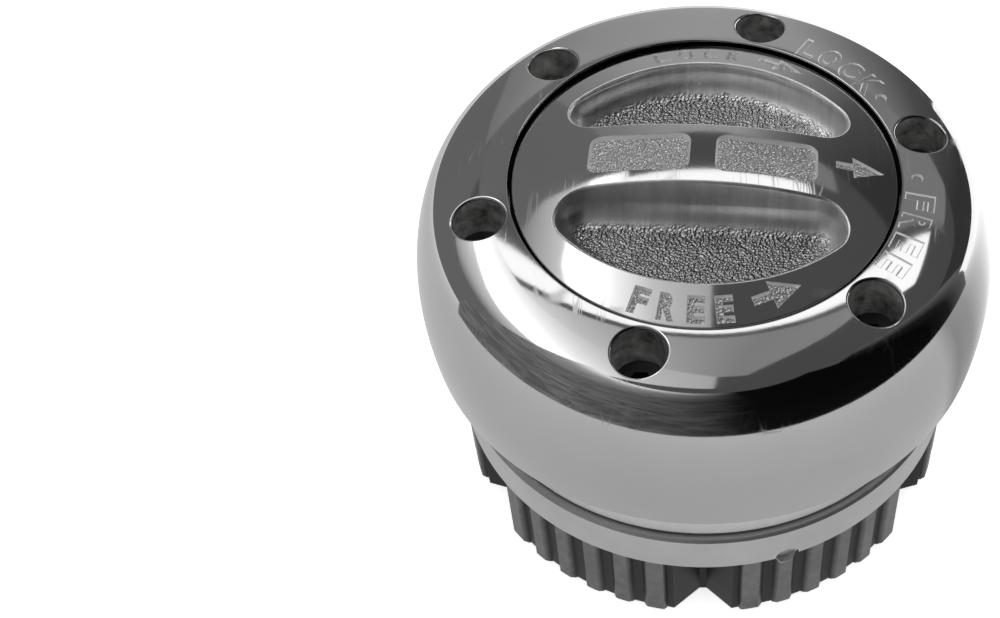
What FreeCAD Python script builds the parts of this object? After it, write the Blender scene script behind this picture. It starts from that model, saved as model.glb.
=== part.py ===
import FreeCAD, Part
import Sketcher
import math
import os

# Manual locking hub.  Millimetres, +Z up through the dial.
# z = 0 is the end of the splined pilot that goes into the wheel hub, where the part rests.
# Rest pose: dial at FREE, clutch ring up and out of mesh with the drive gear.

V = FreeCAD.Vector
doc = FreeCAD.newDocument("locking_hub")

# ---------------------------------------------------------------- driving dimensions
sheet = doc.addObject("Spreadsheet::Sheet", "Dims")
TABLE = [
    # splined pilot and flange of the body
    ("flange_radius", 39.5), ("spline_tip_radius", 39.4), ("spline_root_radius", 38.5), ("spline_length", 14.8),
    ("flange_top", 22.0), ("notch_half_width", 4.5), ("notch_apex_radius", 34.4),
    ("recess_radius", 24.0), ("recess_depth", 3.0), ("web_bore_radius", 21.0), ("web_top", 9.0),
    ("body_slot_radius", 29.0), ("body_land_radius", 27.5), ("body_slot_width", 4.0),
    ("spline_places", 24.0), ("dimple_radius", 1.9), ("dimple_azimuth", -71.25),
    # cap
    ("gasket_thickness", 0.45), ("skirt_radius", 38.4), ("overhang_height", 32.5),
    ("cap_edge_radius", 42.8),
    ("cap_cavity_radius", 29.3), ("cap_web_bottom", 46.0), ("cap_web_top", 51.7),
    ("dial_bore_radius", 28.35), ("stem_bore_radius", 14.2), ("cap_lip_radius", 28.8),
    ("cap_lip_height", 58.55),
    ("screw_circle_radius", 32.95), ("screw_azimuth", 15.0), ("counterbore_radius", 3.75),
    ("screw_seat", 47.5), ("screw_clearance_radius", 2.2), ("screw_hole_radius", 2.0),
    ("screw_shank_radius", 1.98), ("screw_head_radius", 3.5), ("screw_head_height", 4.0),
    ("screw_tip", 12.0), ("screw_hole_bottom", 10.0), ("screw_socket_flats", 3.0),
    ("skirt_groove_radius", 36.9), ("skirt_groove_bottom", 27.0), ("skirt_groove_width", 2.3),
    ("skirt_ring_section", 1.0),
    # dial
    ("dial_radius", 27.85), ("dial_underside", 52.0), ("dial_top", 63.2), ("dome_radius", 76.0),
    ("stem_radius", 14.15), ("stem_end", 43.4), ("pocket_floor", 55.2), ("pocket_arc_radius", 27.0),
    ("pocket_arc_offset", 5.5), ("pocket_inner_edge", 6.1), ("pocket_half_length", 20.4),
    ("pocket_corner", 4.0), ("pocket_cove", 3.0), ("dial_rest_turn", -3.0),
    ("dial_groove_radius", 26.1), ("dial_groove_bottom", 53.4), ("dial_groove_width", 2.4),
    ("dial_ring_section", 1.08),
    ("stop_circle_radius", 17.0), ("stop_pin_radius", 1.25), ("stop_pin_top", 53.0),
    ("stop_groove_half_width", 1.45), ("stop_groove_top", 53.4), ("dial_travel", 328.0),
    ("stop_azimuth", 70.0),
    ("retainer_groove_radius", 13.2), ("retainer_bottom", 44.2), ("retainer_thickness", 1.1),
    # drive screw and its nut: left-hand, two starts
    ("screw_lead", 9.87717), ("thread_major_radius", 11.9), ("thread_minor_radius", 10.4),
    ("thread_root_half_width", 1.15), ("thread_tip_half_width", 0.7), ("thread_clearance", 0.15),
    ("drive_screw_bottom", 21.5), ("tenon_circumradius", 6.9), ("tenon_height", 3.0),
    ("centre_screw_head_radius", 5.0), ("centre_screw_radius", 3.0),
    ("nut_bottom", 28.6), ("nut_flange_top", 30.6), ("nut_top", 38.0), ("nut_radius", 16.0),
    # clutch ring
    ("clutch_bottom", 18.6), ("clutch_top", 32.6), ("clutch_tip_radius", 28.7),
    ("clutch_root_radius", 27.2), ("clutch_slot_width", 3.95), ("clutch_inner_land", 22.7),
    ("clutch_inner_root", 24.3), ("clutch_inner_slot", 3.4),
    ("nut_ring_top", 31.6), ("nut_ring_groove_radius", 25.3),
    # drive gear
    ("gear_tip_radius", 24.0), ("gear_root_radius", 22.4), ("gear_slot_width", 3.3),
    ("gear_bottom", 9.6), ("gear_top", 16.1), ("gear_journal_radius", 19.0), ("gear_end", 0.8),
    ("bushing_bore_radius", 19.05), ("axle_minor_radius", 15.4), ("axle_major_radius", 16.7),
    ("axle_slot_width", 1.7), ("axle_places", 30.0), ("axle_pilot_radius", 16.9),
    ("axle_pilot_length", 2.0), ("gear_groove_radius", 17.9), ("gear_groove_bottom", 1.5),
    ("gear_groove_width", 0.9),
]
for row, (alias, value) in enumerate(TABLE, start=1):
    sheet.set("A%d" % row, alias)
    sheet.set("B%d" % row, "%r" % value)
    sheet.setAlias("B%d" % row, alias)
doc.recompute()


class Size:
    """A number from the sheet together with the expression that gives it."""

    def __init__(self, value, text):
        self.value = float(value)
        self.text = text

    def __add__(self, other):
        other = size(other)
        return Size(self.value + other.value, "(%s + %s)" % (self.text, other.text))

    def __sub__(self, other):
        other = size(other)
        return Size(self.value - other.value, "(%s - %s)" % (self.text, other.text))

    def __mul__(self, other):
        other = size(other)
        return Size(self.value * other.value, "(%s * %s)" % (self.text, other.text))

    def __neg__(self):
        return Size(-self.value, "(0 - %s)" % self.text)


def size(x):
    return x if isinstance(x, Size) else Size(x, "%.6f" % x)


class Names:
    pass


s = Names()
for alias, value in TABLE:
    setattr(s, alias, Size(value, "Dims." + alias))

PARTS = []


def part(obj, label):
    obj.Label = label
    PARTS.append(obj)
    return obj


# ---------------------------------------------------------------- plain solids
COUNT = [0]


def fresh(name):
    COUNT[0] += 1
    return "%s_%03d" % (name, COUNT[0])


def rod(radius, bottom, top, x=0.0, y=0.0, angle=None):
    """A round rod or hole tool along Z."""
    o = doc.addObject("Part::Cylinder", fresh("rod"))
    radius, bottom, top, x, y = size(radius), size(bottom), size(top), size(x), size(y)
    o.Radius = radius.value
    o.Height = top.value - bottom.value
    o.setExpression("Radius", radius.text)
    o.setExpression("Height", (top - bottom).text)
    o.setExpression(".Placement.Base.x", x.text)
    o.setExpression(".Placement.Base.y", y.text)
    o.setExpression(".Placement.Base.z", bottom.text)
    if angle is not None:
        o.setExpression("Angle", size(angle).text)
    return o


def torus(radius, section, height):
    o = doc.addObject("Part::Torus", fresh("torus"))
    o.setExpression("Radius1", size(radius).text)
    o.setExpression("Radius2", size(section).text)
    o.setExpression(".Placement.Base.z", size(height).text)
    return o


def prism(sides, circumradius, bottom, top, x=0.0, y=0.0):
    o = doc.addObject("Part::Prism", fresh("prism"))
    o.Polygon = sides
    o.setExpression("Circumradius", size(circumradius).text)
    o.setExpression("Height", (size(top) - bottom).text)
    o.setExpression(".Placement.Base.x", size(x).text)
    o.setExpression(".Placement.Base.y", size(y).text)
    o.setExpression(".Placement.Base.z", size(bottom).text)
    return o


def fuse(*items):
    o = doc.addObject("Part::MultiFuse", fresh("fuse"))
    o.Shapes = list(items)
    return o


def cut(base, *tools):
    o = doc.addObject("Part::Cut", fresh("cut"))
    o.Base = base
    o.Tool = tools[0] if len(tools) == 1 else fuse(*tools)
    return o


def common(a, b):
    o = doc.addObject("Part::MultiCommon", fresh("common"))
    o.Shapes = [a, b]
    return o


def ring(outer, inner, bottom, top):
    return cut(rod(outer, bottom, top), rod(inner, size(bottom) - 1, size(top) + 1))


def around(count, radius, azimuth, make):
    """The same thing at equal steps on a circle; make(x, y) gives one."""
    out = []
    for i in range(count):
        a = azimuth + i * 360.0 / count
        x = Size(radius.value * math.cos(math.radians(a)), "(%s * cos(%.6f deg))" % (radius.text, a))
        y = Size(radius.value * math.sin(math.radians(a)), "(%s * sin(%.6f deg))" % (radius.text, a))
        out.append(make(x, y))
    return out


# ---------------------------------------------------------------- sketch-based bodies
def plane_of(body, role):
    return [f for f in body.Origin.OriginFeatures if f.Role == role][0]


def new_sketch(body, name, role, height=None):
    sk = body.newObject("Sketcher::SketchObject", name)
    sk.AttachmentSupport = [(plane_of(body, role), "")]
    sk.MapMode = "FlatFace"
    if height is not None:
        height = size(height)
        sk.AttachmentOffset = FreeCAD.Placement(V(0, 0, height.value), FreeCAD.Rotation())
        sk.setExpression("AttachmentOffset.Base.z", height.text)
    return sk


def hold(sk, geo, pos, x, y):
    """Fix one sketch point at (x, y)."""
    for kind, axis, q in (("DistanceX", -2, size(x)), ("DistanceY", -1, size(y))):
        if abs(q.value) < 1e-9:
            sk.addConstraint(Sketcher.Constraint("PointOnObject", geo, pos, axis))
        else:
            i = sk.addConstraint(Sketcher.Constraint(kind, -1, 1, geo, pos, q.value))
            sk.setExpression("Constraints[%d]" % i, q.text)


def loop(sk, points):
    """A closed loop of lines and three-point arcs.  points: (x, y) or (x, y, (mx, my)), where the
    third entry bends the edge that leaves the point."""
    first = sk.GeometryCount
    n = len(points)
    for i, p in enumerate(points):
        q = points[(i + 1) % n]
        a = V(size(p[0]).value, size(p[1]).value, 0)
        b = V(size(q[0]).value, size(q[1]).value, 0)
        if len(p) > 2:
            arc = Part.Arc(a, V(p[2][0], p[2][1], 0), b)
            sk.addGeometry(arc, False)
        else:
            sk.addGeometry(Part.LineSegment(a, b), False)
    ends = []
    for i, p in enumerate(points):
        g = sk.Geometry[first + i]
        a = V(size(p[0]).value, size(p[1]).value, 0)
        start_is_1 = (g.StartPoint - a).Length < (g.EndPoint - a).Length
        ends.append((1, 2) if start_is_1 else (2, 1))
    for i in range(n):
        j = (i + 1) % n
        sk.addConstraint(Sketcher.Constraint("Coincident", first + i, ends[i][1], first + j, ends[j][0]))
    for i, p in enumerate(points):
        hold(sk, first + i, ends[i][0], p[0], p[1])


def turned(name, points):
    """A PartDesign body turned about Z from a closed (radius, height) profile."""
    body = doc.addObject("PartDesign::Body", name + "_blank")
    sk = new_sketch(body, name + "_profile", "XZ_Plane")
    loop(sk, points)
    rev = body.newObject("PartDesign::Revolution", name + "_turning")
    rev.Profile = sk
    rev.ReferenceAxis = (sk, ["V_Axis"])
    rev.Angle = 360.0
    body.Tip = rev
    return body


def slots(body, name, top, bottom, loops, count):
    """Pockets cut down from z = top to z = bottom, repeated about Z."""
    sk = new_sketch(body, name + "_outline", "XY_Plane", top)
    for points in loops:
        loop(sk, points)
    doc.recompute()
    pocket = body.newObject("PartDesign::Pocket", name)
    pocket.Profile = sk
    pocket.setExpression("Length", (size(top) - bottom).text)
    body.Tip = pocket
    doc.recompute()
    pattern = body.newObject("PartDesign::PolarPattern", name + "_around")
    pattern.Originals = [pocket]
    pattern.Axis = (plane_axis(body, "Z_Axis"), [""])
    pattern.Angle = 360.0
    if isinstance(count, Size):
        pattern.Occurrences = int(count.value)
        pattern.setExpression("Occurrences", count.text)
    else:
        pattern.Occurrences = count
    body.Tip = pattern
    doc.recompute()
    return body


def plane_axis(body, role):
    return [f for f in body.Origin.OriginFeatures if f.Role == role][0]


def bar(near, far, width, turn=0.0):
    """A radial rectangle on the X axis, or turned from it by some degrees."""
    half = size(width) * 0.5
    c, q = math.cos(math.radians(turn)), math.sin(math.radians(turn))
    corners = [(near, -half), (far, -half), (far, half), (near, half)]
    if turn == 0.0:
        return corners
    return [(size(x) * c - y * q, size(x) * q + y * c) for x, y in corners]


# ---------------------------------------------------------------- body and its fixed pieces
hub = turned("hub", [
    (s.recess_radius, 0.0), (s.spline_tip_radius - 0.6, 0.0), (s.spline_tip_radius, 0.6),
    (s.spline_tip_radius, s.spline_length), (s.flange_radius, s.spline_length),
    (s.flange_radius, s.flange_top - 0.4), (s.flange_radius - 0.4, s.flange_top),
    (s.body_land_radius + 0.6, s.flange_top), (s.body_land_radius, s.flange_top - 0.6),
    (s.body_land_radius, s.web_top), (s.web_bore_radius, s.web_top), (s.web_bore_radius, s.recess_depth),
    (s.recess_radius, s.recess_depth)])


def polar_point(radius, degrees):
    radius = size(radius)
    return (Size(radius.value * math.cos(math.radians(degrees)), "(%s * cos(%.6f deg))" % (radius.text, degrees)),
            Size(radius.value * math.sin(math.radians(degrees)), "(%s * sin(%.6f deg))" % (radius.text, degrees)))


# Outer spline: 48 places, six groups of six teeth, and a V notch in place of two teeth between groups.
root = s.spline_root_radius
over = s.spline_tip_radius + 0.6
gaps = []
for k in range(5):
    c = 15.0 + 7.5 * k
    gaps.append([polar_point(root, c - 1.15), polar_point(over, c - 3.0),
                 polar_point(over, c + 3.0), polar_point(root, c + 1.15)])
gaps.append([polar_point(over, -9.2), polar_point(over, 0.0), polar_point(over, 9.2), polar_point(root, 8.3),
             (root * 0.9965, s.notch_half_width), (s.notch_apex_radius + 0.35, 0.55),
             (s.notch_apex_radius + 0.35, -0.55), (root * 0.9965, -s.notch_half_width), polar_point(root, -8.3)])
doc.recompute()
slots(hub, "outer_spline", s.spline_length, -1.0, gaps, 6)
slots(hub, "inner_spline", s.flange_top + 1, s.web_top,
      [bar(s.body_land_radius - 2, s.body_slot_radius, s.body_slot_width, 7.5)], s.spline_places)
hub.Placement = FreeCAD.Placement(V(0, 0, 0), FreeCAD.Rotation(V(0, 0, 1), 30.0))

screw_holes = around(6, s.screw_circle_radius, s.screw_azimuth.value,
                     lambda x, y: rod(s.screw_hole_radius, s.screw_hole_bottom, s.flange_top + 1, x, y))
dimple = doc.addObject("Part::Cylinder", "dimple")
dimple.setExpression("Radius", s.dimple_radius.text)
dimple.Height = 4.0
da = math.radians(s.dimple_azimuth.value)
dimple.Placement = FreeCAD.Placement(V(38.4 * math.cos(da), 38.4 * math.sin(da), s.spline_length.value),
                                     FreeCAD.Rotation(V(0, 0, 1), V(math.cos(da), math.sin(da), 0)))
part(cut(hub, dimple, *screw_holes), "hub_body")

part(ring(s.web_bore_radius, s.bushing_bore_radius, s.recess_depth, s.web_top), "body_bushing")
part(ring(22.2, 19.2, s.web_top, s.web_top + 0.5), "gear_upper_washer")

skirt_bottom = s.flange_top + s.gasket_thickness
gasket = cut(ring(38.0, 29.5, s.flange_top, skirt_bottom),
             *around(6, s.screw_circle_radius, s.screw_azimuth.value,
                     lambda x, y: rod(s.screw_clearance_radius + 0.1, s.flange_top - 1, skirt_bottom + 1, x, y)))
part(gasket, "cap_gasket")

# ---------------------------------------------------------------- cap


# The cap's shoulder: one smooth curve from its crowned top to its side, given by the poles of a
# uniform cubic spline.
POLES = [(23.794, 58.544), (29.086, 58.625), (33.257, 58.318), (36.172, 57.717), (38.316, 56.968),
         (39.965, 55.602), (41.733, 51.788), (43.403, 44.59), (43.356, 33.675), (40.305, 18.716)]


def shoulder(q):
    """A point of the curve, q from 0 at the lip to 1 at the lower edge."""
    q = min(max(q, 0.0), 1.0) * (len(POLES) - 3)
    i = min(int(q), len(POLES) - 4)
    f = q - i
    w = ((1 - f) ** 3 / 6, (3 * f ** 3 - 6 * f ** 2 + 4) / 6, (-3 * f ** 3 + 3 * f ** 2 + 3 * f + 1) / 6, f ** 3 / 6)
    return tuple(sum(w[k] * POLES[i + k][a] for k in range(4)) for a in (0, 1))


sh = [shoulder(1.0 - k / 14.0) for k in range(15)]
cap = turned("cap", [
    (s.cap_cavity_radius, skirt_bottom), (s.skirt_radius - 0.4, skirt_bottom),
    (s.skirt_radius, skirt_bottom + 0.4), (s.skirt_radius, s.skirt_groove_bottom),
    (s.skirt_groove_radius, s.skirt_groove_bottom),
    (s.skirt_groove_radius, s.skirt_groove_bottom + s.skirt_groove_width),
    (s.skirt_radius, s.skirt_groove_bottom + s.skirt_groove_width), (s.skirt_radius, s.overhang_height),
    (s.cap_edge_radius - 0.3, s.overhang_height), (s.cap_edge_radius, s.overhang_height + 0.3)]
    + [(sh[k][0], sh[k][1], sh[k + 1]) for k in range(0, 14, 2)]
    + [(s.cap_lip_radius, s.cap_lip_height, (28.48, 58.42)),
    (s.dial_bore_radius, s.cap_lip_height - 0.45), (s.dial_bore_radius, s.cap_web_top),
    (s.stem_bore_radius, s.cap_web_top), (s.stem_bore_radius, s.cap_web_bottom),
    (s.cap_cavity_radius, s.cap_web_bottom)])
doc.recompute()
wells = around(6, s.screw_circle_radius, s.screw_azimuth.value,
               lambda x, y: rod(s.counterbore_radius, s.screw_seat, 62.0, x, y))
passes = around(6, s.screw_circle_radius, s.screw_azimuth.value,
                lambda x, y: rod(s.screw_clearance_radius, 20.0, s.screw_seat + 1, x, y))
pin_xy = (Size(s.stop_circle_radius.value * math.cos(math.radians(s.stop_azimuth.value)),
               "(Dims.stop_circle_radius * cos(Dims.stop_azimuth * 1 deg))"),
          Size(s.stop_circle_radius.value * math.sin(math.radians(s.stop_azimuth.value)),
               "(Dims.stop_circle_radius * sin(Dims.stop_azimuth * 1 deg))"))
pin_hole = rod(s.stop_pin_radius, s.cap_web_bottom - 1, s.cap_web_top + 1, *pin_xy)
part(cut(cap, pin_hole, *(wells + passes)), "cap")
part(rod(s.stop_pin_radius, s.cap_web_bottom, s.stop_pin_top, *pin_xy), "stop_pin")
part(torus(s.skirt_groove_radius + s.skirt_ring_section, s.skirt_ring_section,
           s.skirt_groove_bottom + s.skirt_groove_width * 0.5), "cap_o_ring")
part(ring(27.0, 19.2, s.cap_web_top, s.cap_web_top + 0.25), "dial_thrust_washer")


def socket_screw(x, y):
    head = rod(s.screw_head_radius, s.screw_seat, s.screw_seat + s.screw_head_height, x, y)
    shank = rod(s.screw_shank_radius, s.screw_tip, s.screw_seat + 0.5, x, y)
    hexagon = prism(6, s.screw_socket_flats * 0.57735, s.screw_seat + 1.8,
                    s.screw_seat + s.screw_head_height + 1, x, y)
    return cut(fuse(head, shank), hexagon)


screws = doc.addObject("Part::Compound", "cap_screw_set")
screws.Links = around(6, s.screw_circle_radius, s.screw_azimuth.value, socket_screw)
part(screws, "cap_screws")

# ---------------------------------------------------------------- dial
dome = doc.addObject("Part::Sphere", "dome")
dome.setExpression("Radius", s.dome_radius.text)
dome.setExpression(".Placement.Base.z", (s.dial_top - s.dome_radius).text)
head = common(rod(s.dial_radius, s.dial_underside, s.dial_top + 1), dome)
stem = rod(s.stem_radius, s.stem_end, s.dial_underside + 0.5)

pocket_outline = doc.addObject("Sketcher::SketchObject", "finger_pocket_outline")
corner_y = Size(math.sqrt(27.0 ** 2 - 21.5 ** 2) - 5.5,
                "(sqrt(Dims.pocket_arc_radius ^ 2 - Dims.pocket_half_length ^ 2) - Dims.pocket_arc_offset)")
loop(pocket_outline, [
    (-s.pocket_half_length, s.pocket_inner_edge), (s.pocket_half_length, s.pocket_inner_edge),
    (s.pocket_half_length, corner_y, (0.0, 21.5)), (-s.pocket_half_length, corner_y)])
pocket_outline.setExpression(".Placement.Base.z", s.pocket_floor.text)
doc.recompute()
pocket_block = doc.addObject("Part::Extrusion", "finger_pocket_block")
pocket_block.Base = pocket_outline
pocket_block.Dir = V(0, 0, 1)
pocket_block.LengthFwd = 12.0
pocket_block.Solid = True
doc.recompute()


def edge_numbers(shape, test):
    return [i + 1 for i, e in enumerate(shape.Edges) if test(e)]


upright = edge_numbers(pocket_block.Shape, lambda e: abs(e.BoundBox.ZLength - 12.0) < 0.01)
pocket_sides = doc.addObject("Part::Fillet", "finger_pocket_sides")
pocket_sides.Base = pocket_block
pocket_sides.Edges = [(i, s.pocket_corner.value, s.pocket_corner.value) for i in upright]
doc.recompute()
floor_edges = edge_numbers(pocket_sides.Shape, lambda e: e.BoundBox.ZMax < s.pocket_floor.value + 0.01)
pocket_tool = doc.addObject("Part::Fillet", "finger_pocket_coved")
pocket_tool.Base = pocket_sides
pocket_tool.Edges = [(i, s.pocket_cove.value, s.pocket_cove.value) for i in floor_edges]
doc.recompute()
pocket_mirror = doc.addObject("Part::Mirroring", "finger_pocket_far_side")
pocket_mirror.Source = pocket_tool
pocket_mirror.Normal = V(0, 1, 0)
pockets = fuse(pocket_tool, pocket_mirror)
pockets.setExpression(".Placement.Rotation.Angle", "Dims.dial_rest_turn * 1 deg")
pockets.Placement = FreeCAD.Placement(V(0, 0, 0), FreeCAD.Rotation(V(0, 0, 1), s.dial_rest_turn.value))

stop_half = math.degrees(1.6 / 17.0)
stop_track = cut(rod(s.stop_circle_radius + s.stop_groove_half_width, s.dial_underside - 1, s.stop_groove_top,
                     angle=s.dial_travel + 2 * stop_half),
                 rod(s.stop_circle_radius - s.stop_groove_half_width, s.dial_underside - 2, s.stop_groove_top + 1))
stop_track.Placement = FreeCAD.Placement(V(0, 0, 0),
                                         FreeCAD.Rotation(V(0, 0, 1), s.stop_azimuth.value - stop_half))
tenon = s.tenon_circumradius
tenon_socket = prism(6, tenon + 0.06, s.stem_end - 1, s.stem_end + s.tenon_height + 0.2)
centre_hole = rod(s.centre_screw_radius, s.stem_end - 1, 51.0)
dial_groove = cut(rod(s.dial_radius + 2, s.dial_groove_bottom, s.dial_groove_bottom + s.dial_groove_width),
                  rod(s.dial_groove_radius, s.dial_underside, s.dial_top))
retainer_groove = cut(rod(s.stem_radius + 2, s.retainer_bottom, s.retainer_bottom + s.retainer_thickness + 0.1),
                      rod(s.retainer_groove_radius, s.stem_end, s.dial_underside))
part(cut(fuse(head, stem), pockets, stop_track, tenon_socket, centre_hole, dial_groove, retainer_groove), "dial")
part(torus(s.dial_groove_radius + s.dial_ring_section, s.dial_ring_section,
           s.dial_groove_bottom + s.dial_groove_width * 0.5), "dial_o_ring")
part(ring(17.6, s.stem_radius + 0.05, 45.4, 45.9), "dial_lower_washer")
part(cut(ring(16.4, s.retainer_groove_radius + 0.05, s.retainer_bottom, s.retainer_bottom + s.retainer_thickness),
         prism(4, 4.0, s.retainer_bottom - 1, s.retainer_bottom + 3, 0.0, -15.5)), "dial_retaining_ring")


# ---------------------------------------------------------------- drive screw, nut and centre screw
def thread(grow, bottom, top):
    """Two left-hand ribs on the thread's core, between two heights.  grow widens them into the nut's grooves."""
    lead = s.screw_lead.value
    core = s.thread_minor_radius.value
    tip = s.thread_major_radius.value + grow
    low = s.drive_screw_bottom.value - lead
    turns = 3.4
    ribs = []
    for start in range(2):
        helix = Part.makeHelix(lead, lead * turns, core, 0.0, True)
        w0 = s.thread_root_half_width.value + grow
        w1 = s.thread_tip_half_width.value + grow
        pts = [V(core - 0.6, 0, -w0 - 0.15), V(tip, 0, -w1), V(tip, 0, w1), V(core - 0.6, 0, w0 + 0.15)]
        section = Part.makePolygon(pts + [pts[0]])
        rib = Part.Wire(helix).makePipeShell([section], True, True)
        rib.rotate(V(0, 0, 0), V(0, 0, 1), 180.0 * start)
        rib.translate(V(0, 0, low))
        ribs.append(rib)
    slice_ = Part.makeCylinder(tip + 1, top - bottom, V(0, 0, bottom))
    return [r.common(slice_) for r in ribs]


core = Part.makeCylinder(s.thread_minor_radius.value, s.stem_end.value - s.drive_screw_bottom.value,
                         V(0, 0, s.drive_screw_bottom.value))
ribs = thread(0.0, s.drive_screw_bottom.value + 0.3, s.nut_top.value + 1.2)
threaded = doc.addObject("Part::Feature", "threaded_core")
threaded.Shape = core.fuse(ribs).removeSplitter()
drive = cut(fuse(threaded, prism(6, tenon, s.stem_end - 0.5, s.stem_end + s.tenon_height)),
            rod(s.centre_screw_head_radius + 0.2, s.drive_screw_bottom - 1, s.drive_screw_bottom + 5.5),
            rod(s.centre_screw_radius + 0.2, s.drive_screw_bottom, s.stem_end + s.tenon_height + 1))
part(drive, "drive_screw")
centre = cut(fuse(rod(s.centre_screw_head_radius, s.drive_screw_bottom + 0.5, s.drive_screw_bottom + 5.5),
                  rod(s.centre_screw_radius - 0.02, s.drive_screw_bottom + 5.0, 50.0)),
             prism(6, 2.9, s.drive_screw_bottom - 1, s.drive_screw_bottom + 3.5))
part(centre, "centre_screw")

nut_blank = turned("nut", [
    (s.thread_minor_radius + s.thread_clearance, s.nut_bottom), (s.gear_tip_radius, s.nut_bottom),
    (s.gear_tip_radius, s.nut_flange_top), (s.nut_radius, s.nut_flange_top), (s.nut_radius, s.nut_top),
    (s.thread_minor_radius + s.thread_clearance, s.nut_top)])
doc.recompute()
slots(nut_blank, "nut_spline", s.nut_flange_top, s.nut_bottom - 0.5,
      [bar(s.gear_root_radius, s.gear_tip_radius + 1, s.gear_slot_width)], s.spline_places)
# The nut's flange teeth stand where the gear's do, in the clutch ring's inner slots.
nut_blank.Placement = FreeCAD.Placement(V(0, 0, 0), FreeCAD.Rotation(V(0, 0, 1), 7.5))
doc.recompute()
nut_grooves = doc.addObject("Part::Feature", "nut_thread_grooves")
nut_grooves.Shape = Part.makeCompound(thread(s.thread_clearance.value, s.nut_bottom.value - 1,
                                             s.nut_top.value + 1))
nut_cut = doc.addObject("Part::Feature", "threaded_nut")
nut_cut.Shape = nut_blank.Shape.cut([x for x in nut_grooves.Shape.Solids])
part(nut_cut, "actuator_nut")

# ---------------------------------------------------------------- clutch ring and its spring
clutch = turned("clutch", [
    (s.clutch_inner_land, s.clutch_bottom + 0.5), (s.clutch_inner_land + 0.5, s.clutch_bottom),
    (s.clutch_tip_radius - 0.5, s.clutch_bottom), (s.clutch_tip_radius, s.clutch_bottom + 0.5),
    (s.clutch_tip_radius, s.clutch_top - 0.5), (s.clutch_tip_radius - 0.5, s.clutch_top),
    (s.clutch_inner_land, s.clutch_top)])
doc.recompute()
slots(clutch, "clutch_outer_spline", s.clutch_top + 1, s.clutch_bottom - 1,
      [bar(s.clutch_root_radius, s.clutch_tip_radius + 1, s.clutch_slot_width)], s.spline_places)
slots(clutch, "clutch_inner_spline", s.clutch_top + 1, s.clutch_bottom - 1,
      [bar(s.clutch_inner_land - 1, s.clutch_inner_root, s.clutch_inner_slot)], s.spline_places)
# The outer teeth stand in the body's slots, half a place round from the inner slots.
ring_groove = ring(s.nut_ring_groove_radius, 20.0, s.nut_flange_top, s.nut_ring_top + 0.05)
part(cut(clutch, ring_groove), "clutch_ring")
part(cut(ring(s.nut_ring_groove_radius - 0.1, 22.9, s.nut_flange_top, s.nut_ring_top),
         prism(4, 4.5, s.nut_flange_top - 1, s.nut_ring_top + 1, 0.0, -24.2)), "nut_retaining_ring")
part(ring(22.55, 20.7, 25.4, 26.4), "spring_seat_ring")
coil_radius, wire_radius = 21.6, 0.35
coil = Part.makeHelix((2.2 - 2 * wire_radius - 0.04) / 1.5, 2.2 - 2 * wire_radius - 0.04, coil_radius)
flat = [V(coil_radius + a * 0.7, 0, b * wire_radius) for a, b in ((-1, -1), (1, -1), (1, 1), (-1, 1))]
wire_face = Part.makePolygon(flat + [flat[0]])
spring = doc.addObject("Part::Feature", "spring")
spring_shape = Part.Wire(coil).makePipeShell([wire_face], True, True)
spring_shape.translate(V(0, 0, 26.42 + wire_radius))
spring.Shape = spring_shape
part(spring, "engagement_spring")

# ---------------------------------------------------------------- drive gear
gear = turned("gear", [
    (s.axle_minor_radius, s.gear_end + s.axle_pilot_length), (s.axle_pilot_radius, s.gear_end + s.axle_pilot_length),
    (s.axle_pilot_radius, s.gear_end), (s.gear_journal_radius - 0.4, s.gear_end),
    (s.gear_journal_radius, s.gear_end + 0.4), (s.gear_journal_radius, s.gear_groove_bottom),
    (s.gear_groove_radius, s.gear_groove_bottom),
    (s.gear_groove_radius, s.gear_groove_bottom + s.gear_groove_width),
    (s.gear_journal_radius, s.gear_groove_bottom + s.gear_groove_width),
    (s.gear_journal_radius, s.gear_bottom), (s.gear_tip_radius, s.gear_bottom),
    (s.gear_tip_radius, s.gear_top - 0.8), (s.gear_tip_radius - 0.8, s.gear_top), (s.axle_minor_radius, s.gear_top)])
doc.recompute()
slots(gear, "gear_teeth", s.gear_top + 1, s.gear_bottom - 0.04,
      [bar(s.gear_root_radius, s.gear_tip_radius + 1, s.gear_slot_width)], s.spline_places)
slots(gear, "axle_spline", s.gear_top + 1, s.gear_end + s.axle_pilot_length,
      [bar(s.axle_minor_radius - 1, s.axle_major_radius, s.axle_slot_width)], s.axle_places)
gear.setExpression(".Placement.Rotation.Angle", "7.5 deg")
gear.Placement = FreeCAD.Placement(V(0, 0, 0), FreeCAD.Rotation(V(0, 0, 1), 7.5))
part(gear, "drive_gear")
part(ring(23.4, s.gear_journal_radius + 0.05, 2.45, 2.95), "gear_lower_washer")
part(cut(ring(21.0, s.gear_groove_radius + 0.05, s.gear_groove_bottom, s.gear_groove_bottom + s.gear_groove_width),
         prism(4, 4.0, 0.5, 4.0, 0.0, -20.0)), "gear_retaining_ring")

doc.recompute()

# ---------------------------------------------------------------- checks and files
for obj in doc.Objects:
    if any(flag in ("Invalid", "Error") for flag in obj.State):
        raise RuntimeError("failed object: %s %s" % (obj.Name, obj.State))
for obj in PARTS:
    shape = obj.Shape
    if shape.isNull() or not shape.isValid() or not shape.Solids:
        raise RuntimeError("bad shape: %s" % obj.Label)

os.makedirs("parts", exist_ok=True)
for obj in PARTS:
    obj.Shape.exportStep("parts/%s.step" % obj.Label)
    b = obj.Shape.BoundBox
    print("%-22s solids %d  volume %9.1f  z %.2f..%.2f  r %.2f" % (
        obj.Label, len(obj.Shape.Solids), obj.Shape.Volume, b.ZMin, b.ZMax, b.XMax))
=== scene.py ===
import math
import bpy
from mathutils import Matrix, Vector


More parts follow.
